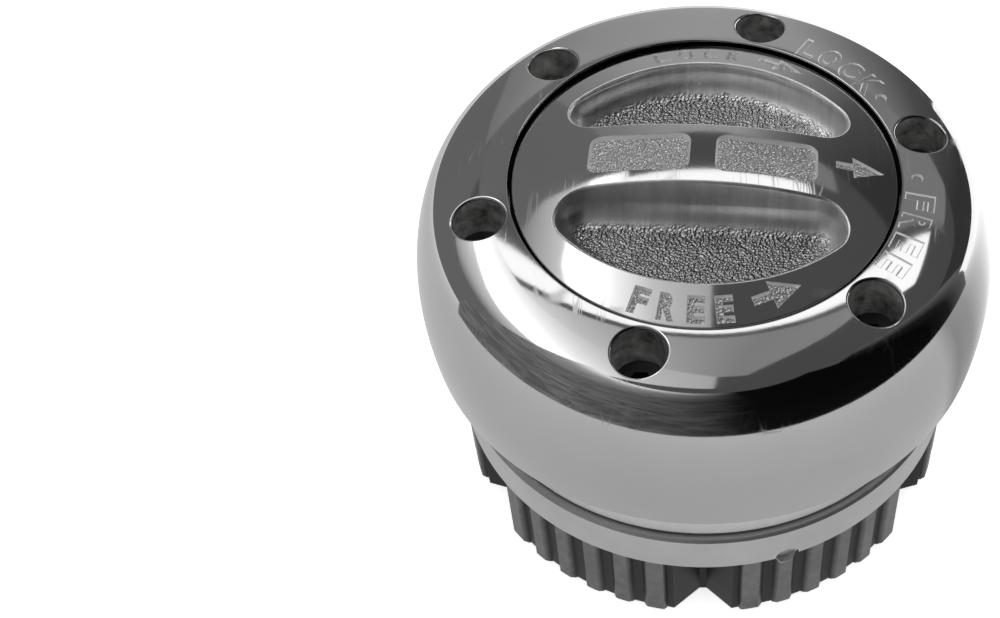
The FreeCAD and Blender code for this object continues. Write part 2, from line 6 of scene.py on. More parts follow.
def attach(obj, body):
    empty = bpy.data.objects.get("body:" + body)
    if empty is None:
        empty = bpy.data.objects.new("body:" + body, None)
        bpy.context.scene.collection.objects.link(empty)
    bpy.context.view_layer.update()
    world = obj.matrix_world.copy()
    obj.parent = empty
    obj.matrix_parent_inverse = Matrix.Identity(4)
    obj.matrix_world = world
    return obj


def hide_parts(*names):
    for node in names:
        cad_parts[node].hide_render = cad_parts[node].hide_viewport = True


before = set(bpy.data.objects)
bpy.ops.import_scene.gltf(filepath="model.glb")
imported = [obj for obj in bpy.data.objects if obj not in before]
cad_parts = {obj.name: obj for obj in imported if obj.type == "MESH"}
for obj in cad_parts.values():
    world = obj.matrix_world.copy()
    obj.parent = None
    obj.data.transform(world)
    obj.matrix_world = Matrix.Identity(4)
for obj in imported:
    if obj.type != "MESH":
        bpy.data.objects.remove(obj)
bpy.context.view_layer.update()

MM = 0.001
pi = math.pi

# ---------------------------------------------------------------------------------------------
# camera
# ---------------------------------------------------------------------------------------------
TILT, ROLL = math.radians(51.432), math.radians(0.2577)
EYE = Vector((0.3262, -161.6392, 229.5815)) * MM
ahead = Vector((0.0, math.cos(TILT), -math.sin(TILT)))
up0 = Vector((0.0, math.sin(TILT), math.cos(TILT)))
right0 = Vector((1.0, 0.0, 0.0))
right = right0 * math.cos(ROLL) + up0 * math.sin(ROLL)
up = up0 * math.cos(ROLL) - right0 * math.sin(ROLL)
cam_data = bpy.data.cameras.new("camera")
cam = bpy.data.objects.new("camera", cam_data)
bpy.context.scene.collection.objects.link(cam)
m = Matrix.Identity(4)
for i in range(3):
    m[i][0], m[i][1], m[i][2], m[i][3] = right[i], up[i], -ahead[i], EYE[i]
cam.matrix_world = m
cam_data.sensor_fit = "HORIZONTAL"
cam_data.sensor_width = 36.0
cam_data.lens = 58.652
cam_data.shift_x = -0.20627
cam_data.shift_y = 0.00195
cam_data.clip_start = 0.005
cam_data.clip_end = 20.0
bpy.context.scene.camera = cam

# ---------------------------------------------------------------------------------------------
# node materials
# ---------------------------------------------------------------------------------------------


class Mat:
    def __init__(self, name):
        self.mat = bpy.data.materials.new(name)
        self.mat.use_nodes = True
        self.nt = self.mat.node_tree
        self.nt.nodes.clear()
        self.out = self.n("ShaderNodeOutputMaterial")
        self.bsdf = self.n("ShaderNodeBsdfPrincipled")
        self.link(self.bsdf.outputs[0], self.out.inputs[0])
        geo = self.n("ShaderNodeTexCoord")
        self.co = geo.outputs["Object"]

    def n(self, kind, **props):
        node = self.nt.nodes.new(kind)
        for k, v in props.items():
            setattr(node, k, v)
        return node

    def link(self, a, b):
        self.nt.links.new(a, b)

    def put(self, socket, value):
        if hasattr(value, "is_linked") or hasattr(value, "links"):
            self.link(value, socket)
        else:
            socket.default_value = value

    def noise(self, scale, detail=4.0, rough=0.55, co=None, stretch=None, distortion=0.0):
        co = co or self.co
        if stretch:
            mp = self.n("ShaderNodeMapping")
            mp.inputs["Scale"].default_value = stretch
            self.link(co, mp.inputs["Vector"])
            co = mp.outputs[0]
        t = self.n("ShaderNodeTexNoise")
        t.inputs["Scale"].default_value = scale
        t.inputs["Detail"].default_value = detail
        t.inputs["Roughness"].default_value = rough
        t.inputs["Distortion"].default_value = distortion
        self.link(co, t.inputs["Vector"])
        return t.outputs["Fac"]

    def ramp(self, fac, stops):
        r = self.n("ShaderNodeValToRGB")
        self.link(fac, r.inputs[0])
        els = r.color_ramp.elements
        while len(els) > 1:
            els.remove(els[-1])
        for i, (p, c) in enumerate(stops):
            e = els[0] if i == 0 else els.new(p)
            e.position = p
            if not isinstance(c, (tuple, list)):
                c = (c, c, c)
            e.color = (c[0], c[1], c[2], 1.0)
        return r.outputs[0]

    def math(self, op, a, b=0.0, c=None):
        x = self.n("ShaderNodeMath", operation=op)
        self.put(x.inputs[0], a)
        self.put(x.inputs[1], b)
        if c is not None:
            self.put(x.inputs[2], c)
        return x.outputs[0]

    def mix(self, fac, a, b):
        x = self.n("ShaderNodeMix", data_type="RGBA")
        self.put(x.inputs[0], fac)
        for s, v in ((x.inputs[6], a), (x.inputs[7], b)):
            if isinstance(v, tuple):
                s.default_value = (v[0], v[1], v[2], 1.0)
            else:
                self.link(v, s)
        return x.outputs[2]

    def split(self, co=None):
        x = self.n("ShaderNodeSeparateXYZ")
        self.link(co or self.co, x.inputs[0])
        return x.outputs

    def bump(self, height, strength, distance, normal=None):
        b = self.n("ShaderNodeBump")
        b.inputs["Strength"].default_value = strength
        b.inputs["Distance"].default_value = distance
        self.link(height, b.inputs["Height"])
        if normal is not None:
            self.link(normal, b.inputs["Normal"])
        return b.outputs[0]

    def set(self, **kw):
        names = {"color": "Base Color", "rough": "Roughness", "metal": "Metallic", "normal": "Normal",
                 "spec": "Specular IOR Level", "coat": "Coat Weight", "coat_rough": "Coat Roughness",
                 "aniso": "Anisotropic", "ior": "IOR"}
        for k, v in kw.items():
            s = self.bsdf.inputs[names[k]]
            if isinstance(v, (tuple, list)) and len(v) == 3:
                v = (v[0], v[1], v[2], 1.0)
            self.put(s, v)
        return self.mat


def scratches(M, scale, turn, width=0.02):
    """Thin straight scratches, as a 0..1 mask."""
    mp = M.n("ShaderNodeMapping")
    mp.inputs["Rotation"].default_value = (0.3, 0.2, turn)
    mp.inputs["Scale"].default_value = (1.0, 0.045, 0.3)
    M.link(M.co, mp.inputs["Vector"])
    v = M.n("ShaderNodeTexVoronoi", feature="DISTANCE_TO_EDGE")
    v.inputs["Scale"].default_value = scale
    M.link(mp.outputs[0], v.inputs["Vector"])
    line = M.ramp(v.outputs["Distance"], [(0.0, 1.0), (width, 0.0)])
    gate = M.ramp(M.noise(90.0, 2.0), [(0.53, 0.0), (0.62, 1.0)])
    return M.math("MULTIPLY", line, gate)


def polished(name, color=(0.50, 0.50, 0.503), rough=0.06, cloud=0.05, scratch=0.35, wavy=0.02):
    M = Mat(name)
    big = M.noise(55.0, 3.0, 0.6)
    fine = M.noise(900.0, 3.0, 0.6)
    marks = M.math("MAXIMUM", scratches(M, 260.0, 0.5), scratches(M, 330.0, 2.1, 0.014))
    tint = M.ramp(big, [(0.3, tuple(c * (1 - cloud) for c in color)), (0.7, color)])
    rn = M.math("MULTIPLY_ADD", big, 0.06, rough - 0.03)
    rn = M.math("ADD", rn, M.math("MULTIPLY", marks, 0.16))
    h = M.math("MULTIPLY_ADD", fine, 0.25, M.math("MULTIPLY", marks, -scratch))
    nrm = M.bump(M.noise(38.0, 2.0, 0.5), wavy, 0.002)
    return M.set(color=tint, metal=1.0, rough=rn, normal=M.bump(h, 0.12, 0.00004, nrm))


def pebble(name, color=(0.88, 0.88, 0.885), floor=None, scale=2500.0):
    """Cast grain on recessed floors, its low gaps coloured darker as painted shade.  With floor=(z0, z1) in metres the
    grain fades out on the walls.
    """
    M = Mat(name)
    n1 = M.noise(scale * 0.7, 3.0, 0.65)
    v = M.n("ShaderNodeTexVoronoi", feature="SMOOTH_F1")
    v.inputs["Scale"].default_value = scale
    v.inputs["Smoothness"].default_value = 0.35
    M.link(M.co, v.inputs["Vector"])
    grain = M.math("ADD", M.math("MULTIPLY", v.outputs["Distance"], -1.1), M.math("MULTIPLY", n1, 0.7))
    # painted shade: the low gaps between the grains are coloured darker than their tops
    tint = M.ramp(grain, [(-0.35, tuple(c * 0.4 for c in color)), (0.12, color)])
    if floor:
        z = M.split()[2]
        k = 1.0 / (floor[1] - floor[0])
        fade = M.math("MULTIPLY_ADD", z, -k, floor[1] * k)
        fade = M.math("ADD", fade, M.math("MULTIPLY_ADD", M.noise(700.0, 3.0), 1.0, -0.5))
        mask = M.ramp(fade, [(0.1, 0.0), (0.9, 1.0)])
        brushed = M.noise(900.0, 4.0, 0.7, stretch=(1.0, 0.08, 0.08))
        height = M.math("ADD", M.math("MULTIPLY", grain, mask),
                        M.math("MULTIPLY", brushed, M.math("MULTIPLY_ADD", mask, -0.32, 0.32)))
        broad = M.noise(150.0, 3.0, 0.6, stretch=(1.0, 0.5, 0.35))
        rough = M.math("ADD", M.math("MULTIPLY_ADD", mask, -0.22, 0.40), M.math("MULTIPLY_ADD", broad, 0.2, -0.1))
        wall = M.ramp(M.math("MULTIPLY_ADD", brushed, 0.5, M.math("MULTIPLY", broad, 0.5)),
                      [(0.32, tuple(c * 0.72 for c in color)), (0.68, tuple(min(c * 1.12, 1.0) for c in color))])
        tint = M.mix(mask, wall, tint)
    else:
        height, rough = grain, 0.16
    return M.set(color=tint, metal=1.0, rough=rough, normal=M.bump(height, 0.8, 0.00026))


def plain_metal(name, color, rough, grain=600.0, depth=0.00003, spread=0.25, bands=None):
    M = Mat(name)
    a = M.noise(grain, 4.0, 0.6)
    b = M.noise(70.0, 3.0, 0.55)
    tint = M.ramp(M.math("MULTIPLY_ADD", a, 0.4, M.math("MULTIPLY", b, 0.6)),
                  [(0.3, tuple(c * (1 - spread) for c in color)), (0.7, color)])
    rn = M.math("MULTIPLY_ADD", b, 0.18, rough - 0.09)
    h = a
    if bands:
        w = M.n("ShaderNodeTexWave", wave_type="BANDS", bands_direction="Z")
        w.inputs["Scale"].default_value = bands
        w.inputs["Distortion"].default_value = 1.2
        w.inputs["Detail"].default_value = 2.0
        M.link(M.co, w.inputs["Vector"])
        h = M.math("MULTIPLY_ADD", w.outputs["Fac"], 0.5, a)
    return M.set(color=tint, metal=1.0, rough=rn, normal=M.bump(h, 0.35, depth))


def rubber(name):
    M = Mat(name)
    a = M.noise(900.0, 3.0)
    tint = M.ramp(a, [(0.3, (0.012, 0.012, 0.012)), (0.7, (0.03, 0.03, 0.03))])
    return M.set(color=tint, metal=0.0, rough=M.math("MULTIPLY_ADD", a, 0.25, 0.4), normal=M.bump(a, 0.3, 0.00004))


def bronze(name):
    return plain_metal(name, (0.55, 0.36, 0.16), 0.32, 500.0, 0.00003, 0.2, 900.0)


steel_black = plain_metal("black_oxide", (0.10, 0.10, 0.105), 0.42, 700.0)
steel_dark = plain_metal("machined_steel", (0.30, 0.30, 0.31), 0.34, 500.0, 0.00004, 0.3, 700.0)
steel_ground = plain_metal("ground_steel", (0.52, 0.52, 0.53), 0.22, 800.0, 0.00002, 0.15, 1100.0)
steel_blue = plain_metal("blued_steel", (0.10, 0.105, 0.12), 0.3, 700.0)
nitrile = rubber("nitrile")
bronze_mat = bronze("bronze")
mirror = polished("polished_stainless")
mirror_dial = polished("polished_stainless_dial", (0.50, 0.50, 0.503), 0.07)
letter_floor = polished("engraved_floor", (0.52, 0.52, 0.52), 0.16, 0.08, 0.2, 0.0)
# painted highlight: the walls of the engraved letters, dots, arrows and panels are coloured light grey so their
# outlines read bright
painted_highlight_walls = plain_metal("letter_walls_painted_highlight", (0.80, 0.80, 0.80), 0.40, 900.0, 0.00002, 0.10)
painted_highlight_walls.node_tree.nodes["Principled BSDF"].inputs["Metallic"].default_value = 0.6


def well_metal(name):
    """Drilled walls: rough, with dark stains left by the drill."""
    M = Mat(name)
    a = M.noise(700.0, 4.0, 0.65)
    b = M.noise(260.0, 3.0, 0.6, distortion=0.6)
    tint = M.ramp(M.math("MULTIPLY_ADD", a, 0.35, M.math("MULTIPLY", b, 0.65)),
                  [(0.36, (0.10, 0.098, 0.095)), (0.50, (0.34, 0.335, 0.33)), (0.66, (0.62, 0.61, 0.60))])
    return M.set(color=tint, metal=0.55, rough=M.math("MULTIPLY_ADD", b, 0.3, 0.3), normal=M.bump(a, 0.5, 0.00006))


well_wall = well_metal("drilled_wall")
# painted light: a lighter, half-diffuse satin copy of the stainless for the cap's skirt, so the strip under the
# overhang reads lit; the satin roughness is the finish
satin = plain_metal("skirt_satin_painted_light", (0.62, 0.62, 0.615), 0.42, 500.0, 0.00003, 0.12, 900.0)
satin.node_tree.nodes["Principled BSDF"].inputs["Metallic"].default_value = 0.5
pocket_mat = pebble("finger_pocket_grain", floor=(0.0552, 0.0560))
grain_mat = pebble("recess_grain")
grain_mat.node_tree.nodes["Principled BSDF"].inputs["Metallic"].default_value = 0.7


def body_metal(name):
    """The body: light satin flange above, dark matte spline below, with a soft change between them. Painted shade
    darkens the spline towards its tooth roots and notches, and a painted light patch lightens the dimple.
    """
    M = Mat(name)
    xyz = M.split()
    x, y, z = xyz[0], xyz[1], xyz[2]
    r = M.math("SQRT", M.math("ADD", M.math("MULTIPLY", x, x), M.math("MULTIPLY", y, y)))
    a = M.noise(650.0, 4.0, 0.6)
    b = M.noise(80.0, 3.0, 0.6)
    up_ = M.ramp(M.math("MULTIPLY", z, 1.0 / 0.022), [(0.655, 0.0), (0.675, 1.0)])
    # painted shade: by radius, the spline's colour goes near black towards the tooth roots and the notches
    clear_of_painted_shade = M.ramp(M.math("MULTIPLY_ADD", r, 1000.0 / 5.0, -7.0), [(0.0, 0.0), (0.66, 0.02), (0.74, 0.12), (0.86, 1.0)])
    # painted light: a light grey patch painted over the dimple's hole, lightening it
    hole = M.math("ADD", M.math("MULTIPLY", M.math("ADD", x, -0.01252), M.math("ADD", x, -0.01252)),
                  M.math("MULTIPLY", M.math("ADD", z, -0.0148), M.math("ADD", z, -0.0148)))
    dimple_painted_light = M.math("MULTIPLY", M.math("LESS_THAN", hole, 0.0019 ** 2 * 1.1), M.math("LESS_THAN", y, -0.03))
    clear_of_painted_shade = M.math("MAXIMUM", clear_of_painted_shade, dimple_painted_light)
    spline_tone = M.ramp(M.math("MULTIPLY_ADD", a, 0.4, M.math("MULTIPLY", b, 0.6)),
                   [(0.3, (0.11, 0.11, 0.112)), (0.7, (0.23, 0.23, 0.233))])
    # painted shade at the roots, the spline's own random tone out on the tips
    dark = M.mix(clear_of_painted_shade, (0.014, 0.014, 0.014), spline_tone)
    light = M.ramp(b, [(0.3, (0.46, 0.46, 0.46)), (0.7, (0.55, 0.55, 0.55))])
    w = M.n("ShaderNodeTexWave", wave_type="BANDS", bands_direction="Z")
    w.inputs["Scale"].default_value = 900.0
    w.inputs["Distortion"].default_value = 1.5
    M.link(M.co, w.inputs["Vector"])
    h = M.math("MULTIPLY_ADD", w.outputs["Fac"], 0.4, a)
    rn = M.math("MULTIPLY_ADD", up_, -0.10, M.math("MULTIPLY_ADD", b, 0.12, 0.36))
    # the dimple's painted light grey patch laid over the flange and spline colours
    tint = M.mix(dimple_painted_light, M.mix(up_, dark, light), (0.60, 0.60, 0.60))
    return M.set(color=tint, metal=0.85, rough=rn, normal=M.bump(h, 0.35, 0.00003))


hub_mat = body_metal("body_steel")

NODE_MATS = {
    "hub_body": hub_mat, "body_bushing": bronze_mat, "gear_upper_washer": bronze_mat, "cap": mirror,
    "cap_gasket": nitrile, "cap_o_ring": nitrile, "cap_screws": steel_black, "stop_pin": steel_ground,
    "dial_thrust_washer": bronze_mat, "drive_gear": steel_dark, "gear_lower_washer": bronze_mat,
    "gear_retaining_ring": steel_blue, "dial": mirror_dial, "dial_o_ring": nitrile,
    "dial_lower_washer": bronze_mat, "dial_retaining_ring": steel_blue, "drive_screw": steel_dark,
    "centre_screw": steel_black, "clutch_ring": steel_dark, "nut_retaining_ring": steel_blue,
    "spring_seat_ring": steel_ground, "engagement_spring": steel_blue, "actuator_nut": steel_dark,
}
for node, mat in NODE_MATS.items():
    obj = bpy.data.objects.get(node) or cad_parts[node]
    if isinstance(obj, str):
        obj = bpy.data.objects[obj]
    for sl in obj.material_slots:
        sl.material = mat

# ---------------------------------------------------------------------------------------------
# surfaces of revolution with exact normals
# ---------------------------------------------------------------------------------------------


def rounded(points, radii, steps=5):
    """A (r, z) polyline with its corners rounded.  Gives runs of (r, z, tangent r, tangent z); a corner with
    radius 0 stays sharp and starts a new run."""
    runs, run = [], []
    n = len(points)

    def unit(a, b):
        dx, dz = b[0] - a[0], b[1] - a[1]
        k = math.hypot(dx, dz)
        return dx / k, dz / k, k
    for i, p in enumerate(points):
        if i == 0:
            d = unit(p, points[1])
            run.append((p[0], p[1], d[0], d[1]))
            continue
        d0 = unit(points[i - 1], p)
        if i == n - 1:
            run.append((p[0], p[1], d0[0], d0[1]))
            break
        d1 = unit(p, points[i + 1])
        r = radii[i]
        if r <= 0:
            run.append((p[0], p[1], d0[0], d0[1]))
            runs.append(run)
            run = [(p[0], p[1], d1[0], d1[1])]
            continue
        turn = math.atan2(d0[0] * d1[1] - d0[1] * d1[0], d0[0] * d1[0] + d0[1] * d1[1])
        back = min(r * abs(math.tan(turn / 2)), 0.49 * d0[2], 0.49 * d1[2])
        rr = back / abs(math.tan(turn / 2))
        sgn = 1.0 if turn > 0 else -1.0
        sx, sz = p[0] - d0[0] * back, p[1] - d0[1] * back
        cx, cz = sx - d0[1] * rr * sgn, sz + d0[0] * rr * sgn
        for k in range(steps + 1):
            a = turn * k / steps
            ca, sa = math.cos(a), math.sin(a)
            vx, vz = sx - cx, sz - cz
            tx, tz = d0[0] * ca - d0[1] * sa, d0[0] * sa + d0[1] * ca
            run.append((cx + vx * ca - vz * sa, cz + vx * sa + vz * ca, tx, tz))
    runs.append(run)
    return runs


def lathe_data(runs, segments, close=False):
    """Vertices (mm), quads and corner normals of a surface turned about Z.  The normal is the tangent turned so
    that a profile walked with the solid on its left has outward normals."""
    verts, faces, norms = [], [], []
    index = {}

    def ring(r, z):
        key = (round(r, 6), round(z, 6))
        if key in index:
            return index[key]
        if r < 1e-6:
            verts.append((0.0, 0.0, z))
            index[key] = (len(verts) - 1, True)
        else:
            index[key] = (len(verts), False)
            for i in range(segments):
                a = 2 * pi * i / segments
                verts.append((r * math.cos(a), r * math.sin(a), z))
        return index[key]
    for run in runs:
        for p, q in zip(run, run[1:]):
            if math.hypot(p[0] - q[0], p[1] - q[1]) < 1e-7:
                continue
            a0, ca = ring(p[0], p[1])
            b0, cb = ring(q[0], q[1])

            def nrm(s, i):
                a = 2 * pi * i / segments
                nr, nz = s[3], -s[2]
                return (nr * math.cos(a), nr * math.sin(a), nz)
            for i in range(segments):
                j = (i + 1) % segments
                loop = []
                if ca:
                    loop = [(a0, nrm(p, i + 0.5)), (b0 + j, nrm(q, i + 1)), (b0 + i, nrm(q, i))]
                elif cb:
                    loop = [(a0 + i, nrm(p, i)), (a0 + j, nrm(p, i + 1)), (b0, nrm(q, i + 0.5))]
                else:
                    loop = [(a0 + i, nrm(p, i)), (a0 + j, nrm(p, i + 1)), (b0 + j, nrm(q, i + 1)), (b0 + i, nrm(q, i))]
                faces.append([v for v, _ in loop])
                norms.append([x for _, x in loop])
    return verts, faces, norms


def face_normal(verts, f):
    n = Vector((0, 0, 0))
    for i in range(len(f)):
        a, b = Vector(verts[f[i]]), Vector(verts[f[(i + 1) % len(f)]])
        n += a.cross(b)
    return n.normalized() if n.length > 1e-12 else Vector((0, 0, 1))


class Soup:
    """Meshes gathered into one, each face with its material number and corner normals."""

    def __init__(self):
        self.v, self.f, self.n, self.m = [], [], [], []

    def add(self, verts, faces, norms, mat):
        k = len(self.v)
        self.v += [tuple(x) for x in verts]
        for i, f in enumerate(faces):
            self.f.append([k + x for x in f])
            self.n.append(norms[i] if norms else None)
            self.m.append(mat[i] if isinstance(mat, list) else mat)

    def object(self, name, mats):
        me = bpy.data.meshes.new(name)
        me.from_pydata([(x * MM, y * MM, z * MM) for x, y, z in self.v], [], self.f)
        for mt in mats:
            me.materials.append(mt)
        me.polygons.foreach_set("material_index", self.m)
        ua, ub = me.uv_layers.new(name="n_xy"), me.uv_layers.new(name="n_z")
        k = 0
        for i, f in enumerate(self.f):
            nn = self.n[i]
            if nn is None:
                x = face_normal(self.v, f)
                nn = [x] * len(f)
            for q in nn:
                ua.data[k].uv = (q[0], q[1])
                ub.data[k].uv = (q[2], 1.0)
                k += 1
        me.update()
        ob = bpy.data.objects.new(name, me)
        bpy.context.scene.collection.objects.link(ob)
        return ob


def cut_all(base, cutter):
    """Subtract one closed mesh from another, keeping both surfaces' stored normals."""
    mod = base.modifiers.new("cut", "BOOLEAN")
    mod.operation = "DIFFERENCE"
    mod.solver = "EXACT"
    mod.use_self = True
    mod.object = cutter
    bpy.context.view_layer.update()
    dg = bpy.context.evaluated_depsgraph_get()
    me = bpy.data.meshes.new_from_object(base.evaluated_get(dg), preserve_all_data_layers=True, depsgraph=dg)
    base.modifiers.clear()
    old = base.data
    base.data = me
    bpy.data.meshes.remove(old)
    bpy.data.objects.remove(cutter)
    me.name = base.name


def dress(ob):
    """Set the stored normals as the mesh's own."""
    me = ob.data
    ua, ub = me.uv_layers["n_xy"].data, me.uv_layers["n_z"].data
    out = []
    for p in me.polygons:
        fn = p.normal
        for li in p.loop_indices:
            n = Vector((ua[li].uv[0], ua[li].uv[1], ub[li].uv[0]))
            if n.length < 0.2:
                n = fn.copy()
            n.normalize()
            if n.dot(fn) < 0:
                n = -n
            if n.dot(fn) < 0.25:
                n = fn
            out.append((n.x, n.y, n.z))
    me.polygons.foreach_set("use_smooth", [True] * len(me.polygons))
    me.normals_split_custom_set(out)
    me.uv_layers.remove(me.uv_layers["n_z"])
    me.uv_layers.remove(me.uv_layers["n_xy"])
    me.update()


# ---------------------------------------------------------------------------------------------
# the cap
# ---------------------------------------------------------------------------------------------
POLES = [(23.794, 58.544), (29.086, 58.625), (33.257, 58.318), (36.172, 57.717), (38.316, 56.968),
         (39.965, 55.602), (41.733, 51.788), (43.403, 44.59), (43.356, 33.675), (40.305, 18.716)]


def shoulder(q):
    q = min(max(q, 0.0), 1.0) * (len(POLES) - 3)
    i = min(int(q), len(POLES) - 4)
    f = q - i
    w = ((1 - f) ** 3 / 6, (3 * f ** 3 - 6 * f ** 2 + 4) / 6, (-3 * f ** 3 + 3 * f ** 2 + 3 * f + 1) / 6, f ** 3 / 6)
    d = (-(1 - f) ** 2 / 2, (9 * f * f - 12 * f) / 6, (-9 * f * f + 6 * f + 3) / 6, f * f / 2)
    r, z = (sum(w[k] * POLES[i + k][a] for k in range(4)) for a in (0, 1))
    dr, dz = (sum(d[k] * POLES[i + k][a] for k in range(4)) for a in (0, 1))
    k = math.hypot(dr, dz)
    return r, z, dr / k, dz / k


SHOULDER = [shoulder(k / 400.0) for k in range(401)]


def cap_height(r):
    """Height and slope of the cap's top at radius r."""
    for a, b in zip(SHOULDER, SHOULDER[1:]):
        if a[0] <= r <= b[0]:
            f = (r - a[0]) / (b[0] - a[0])
            return a[1] + f * (b[1] - a[1]), b[3] / b[2]
    a = SHOULDER[0]
    return a[1] + (r - a[0]) * a[3] / a[2], a[3] / a[2]


def cap_top(x, y):
    r = math.hypot(x, y)
    h, s = cap_height(r)
    n = Vector((-s * x / r, -s * y / r, 1.0)).normalized()
    return h, n


NQ = 90
SEG = 288
# profile walked so that the solid is on its left seen with r to the right and z up: up the bore, out over
# the top is clockwise, so the walk goes from the outside edge in and down
outer = [shoulder(1.0 - k / NQ) for k in range(NQ + 1)]
outer = [(r, z, -tr, -tz) for r, z, tr, tz in outer]
lip = rounded([(28.9, SHOULDER[0][1]), (28.35, SHOULDER[0][1] + 0.01), (28.35, 51.7), (14.2, 51.7), (14.2, 46.0),
               (29.3, 46.0), (29.3, 22.45), (38.4, 22.45), (38.4, 27.0), (36.9, 27.0), (36.9, 29.3),
               (38.4, 29.3), (38.4, 32.5), (42.8, 32.5), (42.86, 33.0)],
              [0, 0.45, 0, 0.3, 0.3, 0.4, 0.3, 0.4, 0.2, 0.2, 0.2, 0.2, 0, 0.3, 0], 5)
lip[0][0] = (outer[-1][0], outer[-1][1], outer[-1][2], outer[-1][3])
lip[-1][-1] = (outer[0][0], outer[0][1], outer[0][2], outer[0][3])
cap_runs = [outer] + lip
base = Soup()
v, f, n = lathe_data(cap_runs, SEG)



# the skirt's faces take slot 3, the lighter satin that paints the strip under the overhang as lit
def on_skirt(face):
    return all(22.4 < v[i][2] < 32.6 and 36.8 < math.hypot(v[i][0], v[i][1]) < 38.6 for i in face)


base.add(v, f, n, [3 if on_skirt(face) else 0 for face in f])
cap_obj = base.object("cap_shell", [mirror, well_wall, letter_floor, satin, painted_highlight_walls])


def stepped_hole(cx, cy, top_fn, seg=72):
    """Counterbore and clearance hole for a screw, with a rolled rim that follows the surface."""
    verts, faces, norms, mats = [], [], [], []
    wall = 3.75
    levels = [(0.0, 20.0, None), (2.2, 20.0, None), (2.2, 47.5, None), (wall, 47.5, None), (wall, 51.0, None),
              (wall, 55.0, None)]
    roll = 0.42
    for k in range(7):
        a = math.radians(80.0) * k / 6
        levels.append((wall + roll * (1 - math.cos(a)), None, -roll + roll * math.sin(a)))
    levels.append((wall + roll * 0.83 + 0.5, None, 0.09))
    levels.append((wall + roll * 0.83 + 0.5, None, 2.0))
    levels.append((0.0, None, 2.0))
    rings = []
    for r, z, dz in levels:
        if r == 0.0:
            zz = z if z is not None else top_fn(cx, cy)[0] + dz
            verts.append((cx, cy, zz))
            rings.append([len(verts) - 1])
            continue
        ids = []
        for i in range(seg):
            a = 2 * pi * i / seg
            x, y = cx + r * math.cos(a), cy + r * math.sin(a)
            zz = z if z is not None else top_fn(x, y)[0] + dz
            verts.append((x, y, zz))
            ids.append(len(verts) - 1)
        rings.append(ids)
    for li, (a, b) in enumerate(zip(rings, rings[1:])):
        for i in range(seg):
            j = (i + 1) % seg
            if len(a) == 1:
                faces.append([a[0], b[j], b[i]])
            elif len(b) == 1:
                faces.append([a[i], a[j], b[0]])
            else:
                faces.append([a[i], a[j], b[j], b[i]])
            smooth_wall = 3 < li < 11
            if smooth_wall:
                nn = []
                for vi, (lev, ang) in zip(faces[-1], ((li, i), (li, j), (li + 1, j), (li + 1, i))):
                    t = 2 * pi * ang / seg
                    tilt = 0.0
                    if lev >= 6:
                        tilt = math.radians(80.0) * min(lev - 6, 6) / 6
                    out = Vector((math.cos(t), math.sin(t), 0)) * math.cos(tilt)
                    sn = top_fn(cx + 4 * math.cos(t), cy + 4 * math.sin(t))[1]
                    nn.append(tuple(out - sn * math.sin(tilt)))
                norms.append(nn)
            elif li >= 1 and li in (1, 3, 4):
                nn = []
                for ang in (i, j, j, i):
                    t = 2 * pi * ang / seg
                    nn.append((math.cos(t), math.sin(t), 0.0))
                norms.append(nn)
            else:
                norms.append(None)
            mats.append(1 if li < 6 else 0)
    return verts, faces, norms, mats


def word_mesh(text, size, embolden, slope):
    cu = bpy.data.curves.new("word", "FONT")
    cu.body = text
    cu.size = size
    cu.align_x = "CENTER"
    cu.offset = embolden
    cu.extrude = 1.0
    cu.bevel_depth = slope
    cu.bevel_resolution = 0
    cu.resolution_u = 5
    ob = bpy.data.objects.new("word", cu)
    bpy.context.scene.collection.objects.link(ob)
    bpy.context.view_layer.update()
    dg = bpy.context.evaluated_depsgraph_get()
    me = bpy.data.meshes.new_from_object(ob.evaluated_get(dg))
    import bmesh
    bm = bmesh.new()
    bm.from_mesh(me)
    bmesh.ops.remove_doubles(bm, verts=bm.verts, dist=1e-4)
    bmesh.ops.dissolve_degenerate(bm, edges=bm.edges, dist=1e-4)
    bmesh.ops.recalc_face_normals(bm, faces=bm.faces)
    vs = [(x.co.x, x.co.y, (1 if x.co.z > 0 else -1) * (2 if abs(x.co.z) > 1 + slope / 2 else 1)) for x in bm.verts]
    bm.verts.index_update()
    fs = [[x.index for x in g.verts] for g in bm.faces]
    bm.free()
    bpy.data.objects.remove(ob)
    bpy.data.curves.remove(cu)
    bpy.data.meshes.remove(me)
    return vs, fs


def fit_letter(ch, width, height, embolden=0.0, slope=0.03):
    """One plain block letter, its box centred on 0, 0."""
    vs, fs = word_mesh(ch, 1.0, embolden, slope)
    x0, x1 = min(p[0] for p in vs), max(p[0] for p in vs)
    y0, y1 = min(p[1] for p in vs), max(p[1] for p in vs)
    sx, sy = width / (x1 - x0), height / (y1 - y0)
    return [((x - (x0 + x1) / 2) * sx, (y - (y0 + y1) / 2) * sy, z) for x, y, z in vs], fs


def engrave(soup, shape, place, top_fn, depth, wall_mat, floor_mat, draft=0.0):
    """Turn a flat shape (z = -2 floor, -1 surface, +1 and +2 above) into a cutter that follows the surface at a
    given depth, with walls that slope between the floor and the surface."""
    vs, fs = shape
    out = []
    for x, y, z in vs:
        wx, wy = place(x, y)
        h = top_fn(wx, wy)[0]
        out.append((wx, wy, h + 0.45 * z if z > 0 else h - depth if z < -1.5 else h - 0.03))
    norms, mats = [], []
    for g in fs:
        zs = [vs[i][2] for i in g]
        if max(zs) < -1.5:
            norms.append([tuple(-top_fn(out[i][0], out[i][1])[1]) for i in g])
            mats.append(floor_mat)
        else:
            norms.append(None)
            mats.append(wall_mat)
    soup.add(out, fs, norms, mats)


